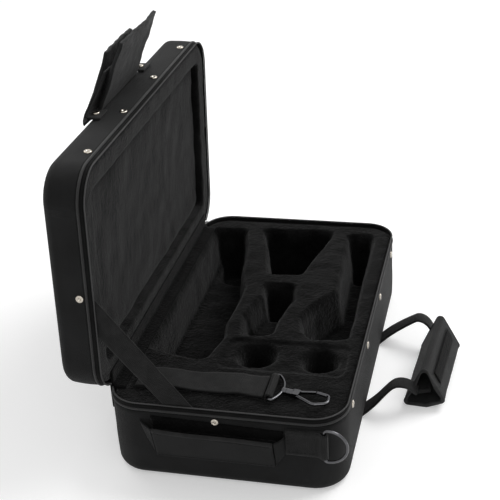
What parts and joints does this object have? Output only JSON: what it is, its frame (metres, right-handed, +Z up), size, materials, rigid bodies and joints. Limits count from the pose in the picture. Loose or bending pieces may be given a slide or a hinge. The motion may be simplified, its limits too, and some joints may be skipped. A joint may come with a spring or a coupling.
{
  "type": "clarinet case",
  "caption": "Soft-sided rectangular case with a zippered, cloth-hinged lid, plush-lined fitted insert, wrapped carry handles, end pocket and D-rings for a shoulder strap.",
  "frame": {"origin": "centre of the base's flat bottom face, on the surface the case stands on", "axes": "+Z up, +Y along the hinge from the pocket end to the far end, +X from the hinge side to the handle side"},
  "size_m": [0.3234, 0.3791, 0.3476],
  "materials": {
    "nylon_cloth": "matte woven nylon",
    "piping": "cloth-covered cord",
    "zipper_tape": "matte knitted tape",
    "zipper_coil": "satin nylon coil",
    "plush": "short-pile plush",
    "lining_cloth": "smooth lining cloth",
    "binding_tape": "ribbed binding tape",
    "webbing": "woven webbing",
    "wrap_cloth": "padded woven nylon",
    "hook_and_loop": "hook-and-loop pile",
    "rivet_nickel": "polished nickel",
    "dark_chrome": "dark polished",
    "zipper_metal": "black enamel"
  },
  "bodies": {
    "case_base": {"base_shell": "nylon_cloth", "base_piping": "piping", "base_zipper_tape": "zipper_tape", "base_zipper_coil": "zipper_coil", "base_insert": "plush", "base_rivets": "rivet_nickel", "hinge_strip": "nylon_cloth", "hinge_lining": "lining_cloth", "pocket_gusset_left": "nylon_cloth", "pocket_gusset_right": "nylon_cloth", "d_ring_tab_near": "webbing", "d_ring_tab_far": "webbing", "base_handle_straps": "webbing", "lid_stay": "webbing", "zipper_slider": "zipper_metal"},
    "lid": {"lid_shell": "nylon_cloth", "lid_piping": "piping", "lid_zipper_tape": "zipper_tape", "lid_zipper_coil": "zipper_coil", "lid_lining_border": "plush", "lid_lining_panel": "plush", "lid_rivets": "rivet_nickel", "lid_handle_straps": "webbing", "lid_handle_rivets": "rivet_nickel"},
    "pocket": {"pocket_panel": "nylon_cloth", "pocket_binding": "binding_tape"},
    "d_ring_near": {"d_ring_near": "dark_chrome"},
    "d_ring_far": {"d_ring_far": "dark_chrome"},
    "base_handle": {"handle_wrap": "wrap_cloth", "handle_bar": "webbing", "handle_wrap_binding": "binding_tape", "handle_wrap_tab": "hook_and_loop"},
    "lid_handle": {"lid_handle_wrap": "wrap_cloth", "lid_handle_bar": "webbing"},
    "shoulder_strap": {"strap_webbing": "webbing", "strap_loop": "webbing", "swivel_eye": "dark_chrome"},
    "snap_hook": {"hook_body": "dark_chrome"},
    "hook_gate": {"hook_gate": "dark_chrome"},
    "zipper_pull": {"zipper_pull": "zipper_metal"}
  },
  "joints": [
    {"name": "lid_hinge", "type": "hinge", "parent": "case_base", "child": "lid", "pos_m": [-0.103, 0, 0.078], "axis": [0, 1, 0], "range_deg": [0, 88], "deforming": ["hinge_strip", "hinge_lining", "lid_stay"]},
    {"name": "pocket_flap", "type": "hinge", "parent": "case_base", "child": "pocket", "pos_m": [-0.007, -0.1804, 0.0245], "axis": [-1, 0, 0], "range_deg": [0, 12], "deforming": ["pocket_gusset_left", "pocket_gusset_right"]},
    {"name": "d_ring_near_swing", "type": "hinge", "parent": "case_base", "child": "d_ring_near", "pos_m": [0.088, -0.1836, 0.053], "axis": [0, 0, -1], "range_deg": [-40, 130]},
    {"name": "d_ring_far_swing", "type": "hinge", "parent": "case_base", "child": "d_ring_far", "pos_m": [0.061, 0.1836, 0.053], "axis": [0, 0, 1], "range_deg": [-5, 130]},
    {"name": "base_handle_lift", "type": "hinge", "parent": "case_base", "child": "base_handle", "pos_m": [0.1049, 0, 0.004], "axis": [0, -1, 0], "range_deg": [0, 50], "deforming": ["base_handle_straps"]},
    {"name": "lid_handle_swing", "type": "hinge", "parent": "lid", "child": "lid_handle", "pos_m": [-0.133, 0, 0.287], "axis": [0, -1, 0], "range_deg": [0, 110], "deforming": ["lid_handle_straps"]},
    {"name": "strap_lift", "type": "slide", "parent": "case_base", "child": "shoulder_strap", "axis": [0.7071, 0, 0.7071], "range_m": [0, 0.15]},
    {"name": "hook_swivel", "type": "hinge", "parent": "shoulder_strap", "child": "snap_hook", "pos_m": [0.0469, -0.143, 0.0759], "axis": [-0.9744, 0.225, 0], "range_deg": [-13, 16]},
    {"name": "gate_press", "type": "hinge", "parent": "snap_hook", "child": "hook_gate", "pos_m": [0.05872, -0.14337, 0.0759], "axis": [0, 0, -1], "range_deg": [0, 22], "stiffness_Nm_per_rad": 0.02, "springref_deg": -11.46},
    {"name": "zipper_pull_swing", "type": "hinge", "parent": "case_base", "child": "zipper_pull", "pos_m": [-0.10803, 0.16375, 0.071], "axis": [0.3746, 0.9272, 0], "range_deg": [-12, 100]}
  ]
}
